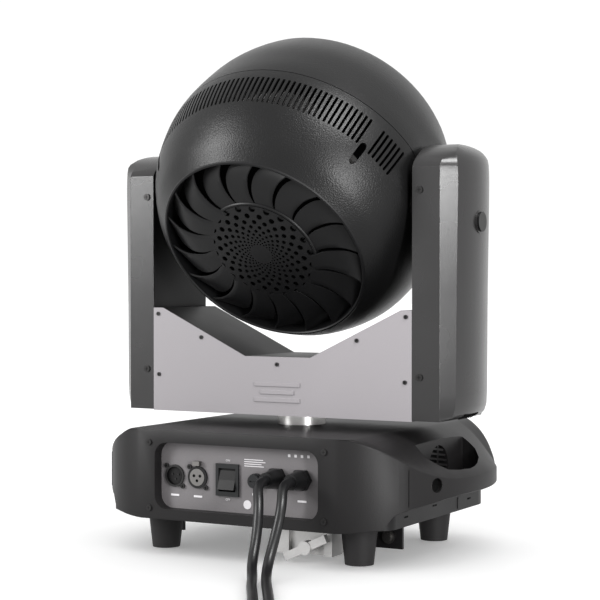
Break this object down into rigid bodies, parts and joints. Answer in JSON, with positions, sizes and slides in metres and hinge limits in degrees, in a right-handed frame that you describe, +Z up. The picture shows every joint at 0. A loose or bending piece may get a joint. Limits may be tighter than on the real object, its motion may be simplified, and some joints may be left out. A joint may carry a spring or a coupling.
{
  "type": "moving head light",
  "caption": "Moving head stage light: wide base with handles, yoke with two arms and a tilting round head with a vaned rear grille, plus two power cords.",
  "frame": {"origin": "on the floor under the feet, on the pan axis", "axes": "+Z up along the pan axis, connector side towards -Y, control side towards +Y, tilt axis along X"},
  "size_m": [0.5747, 0.7474, 0.5937],
  "materials": {
    "body_plastic": "fine grained",
    "painted_steel": "satin black powder coat",
    "brushed_plate": "speckled silver grey, satin",
    "display": "gloss",
    "black_plastic": "satin",
    "steel": "machined",
    "rubber": "matte",
    "aluminium": "satin",
    "circuit_board": "white solder mask",
    "lens": "clear"
  },
  "bodies": {
    "base": {"base_bottom_pan": "painted_steel", "base_top_cover": "body_plastic", "side_handle_right": "body_plastic", "side_handle_left": "body_plastic", "connector_panel": "painted_steel", "control_panel": "body_plastic", "display_window": "display", "dmx_in_socket": "black_plastic", "dmx_out_socket": "black_plastic", "power_switch_housing": "black_plastic", "fuse_holder": "black_plastic", "power_in_gland": "black_plastic", "power_out_gland": "black_plastic", "rubber_feet": "rubber", "pan_shaft": "steel", "pan_pulley": "black_plastic", "power_supply": "steel", "omega_bracket": "painted_steel", "bracket_fasteners": "steel", "clamp_body": "aluminium", "panel_screws": "steel", "power_in_cord": "rubber", "power_in_coil": "rubber", "power_in_plug": "black_plastic", "power_out_cord": "rubber", "power_out_coil": "rubber", "power_out_connector": "black_plastic"},
    "yoke": {"yoke_frame": "painted_steel", "yoke_rear_plate": "brushed_plate", "yoke_front_plate": "brushed_plate", "arm_cover_right": "body_plastic", "arm_cover_left": "body_plastic", "pan_bearing": "steel", "pan_motor": "black_plastic", "tilt_motor": "black_plastic", "pan_belt": "rubber", "tilt_belt": "rubber", "plate_screws": "steel", "arm_screws": "steel"},
    "head": {"head_rear_shell": "body_plastic", "head_front_shell": "body_plastic", "rear_grille": "body_plastic", "heat_sink": "aluminium", "led_board": "circuit_board", "lens_plate": "lens", "tilt_hubs": "steel", "tilt_pulley": "black_plastic"},
    "menu_button_body": {"menu_button": "black_plastic"},
    "down_button_body": {"down_button": "black_plastic"},
    "up_button_body": {"up_button": "black_plastic"},
    "enter_button_body": {"enter_button": "black_plastic"},
    "dmx_out_latch_body": {"dmx_out_latch": "steel"},
    "power_switch_rocker_body": {"power_switch_rocker": "black_plastic"},
    "fuse_cap_body": {"fuse_cap": "black_plastic"},
    "clamp_wing_bolt_body": {"clamp_wing_bolt": "aluminium"},
    "tilt_lock_button_body": {"tilt_lock_button": "black_plastic"},
    "pan_pinion_body": {"pan_pinion": "steel"},
    "tilt_pinion_body": {"tilt_pinion": "steel"},
    "zoom_carrier_body": {"zoom_carrier": "aluminium"},
    "fan_rotor_body": {"fan_rotor": "black_plastic"}
  },
  "joints": [
    {"name": "pan", "type": "hinge", "parent": "base", "child": "yoke", "pos_m": [0, 0, 0], "axis": [0, 0, 1], "range_deg": [-270, 270]},
    {"name": "tilt", "type": "hinge", "parent": "yoke", "child": "head", "pos_m": [0, 0, 0.414], "axis": [1, 0, 0], "range_deg": [-83.4, 186.6]},
    {"name": "pan_pinion_turn", "type": "hinge", "parent": "yoke", "child": "pan_pinion_body", "pos_m": [-0.1, 0, 0.182], "axis": [0, 0, 1], "range_deg": [-1360, 1360]},
    {"name": "tilt_pinion_turn", "type": "hinge", "parent": "yoke", "child": "tilt_pinion_body", "pos_m": [-0.1826, 0, 0.25], "axis": [1, 0, 0], "range_deg": [-360, 800]},
    {"name": "fan_spin", "type": "hinge", "parent": "head", "child": "fan_rotor_body", "pos_m": [0, 0, 0.414], "axis": [0, 0.7837, 0.6212], "continuous": true},
    {"name": "zoom", "type": "slide", "parent": "head", "child": "zoom_carrier_body", "axis": [0, 0.7837, 0.6212], "range_m": [-0.025, 0.07]},
    {"name": "power_switch", "type": "hinge", "parent": "base", "child": "power_switch_rocker_body", "pos_m": [-0.0162, -0.137, 0.088], "axis": [1, 0, 0], "range_deg": [0, 14]},
    {"name": "fuse_turn", "type": "hinge", "parent": "base", "child": "fuse_cap_body", "pos_m": [0.0207, -0.1398, 0.089], "axis": [0, 1, 0], "range_deg": [0, 90]},
    {"name": "latch_push", "type": "slide", "parent": "base", "child": "dmx_out_latch_body", "axis": [0, 0, -1], "range_m": [0, 0.0012], "stiffness_N_per_m": 400},
    {"name": "clamp_screw", "type": "hinge", "parent": "base", "child": "clamp_wing_bolt_body", "pos_m": [0.076, -0.127, 0.018], "axis": [0, 1, 0], "range_deg": [-3, 53]},
    {"name": "tilt_lock", "type": "slide", "parent": "yoke", "child": "tilt_lock_button_body", "axis": [-1, 0, 0], "range_m": [0, 0.003]},
    {"name": "menu_press", "type": "slide", "parent": "base", "child": "menu_button_body", "axis": [0, -1, 0], "range_m": [0, 0.0012], "stiffness_N_per_m": 300},
    {"name": "down_press", "type": "slide", "parent": "base", "child": "down_button_body", "axis": [0, -1, 0], "range_m": [0, 0.0012], "stiffness_N_per_m": 300},
    {"name": "up_press", "type": "slide", "parent": "base", "child": "up_button_body", "axis": [0, -1, 0], "range_m": [0, 0.0012], "stiffness_N_per_m": 300},
    {"name": "enter_press", "type": "slide", "parent": "base", "child": "enter_button_body", "axis": [0, -1, 0], "range_m": [0, 0.0012], "stiffness_N_per_m": 300}
  ],
  "couplings": [
    {"joint": "pan_pinion_turn", "follows": "pan", "ratio": -5},
    {"joint": "tilt_pinion_turn", "follows": "tilt", "ratio": 4.2222}
  ]
}
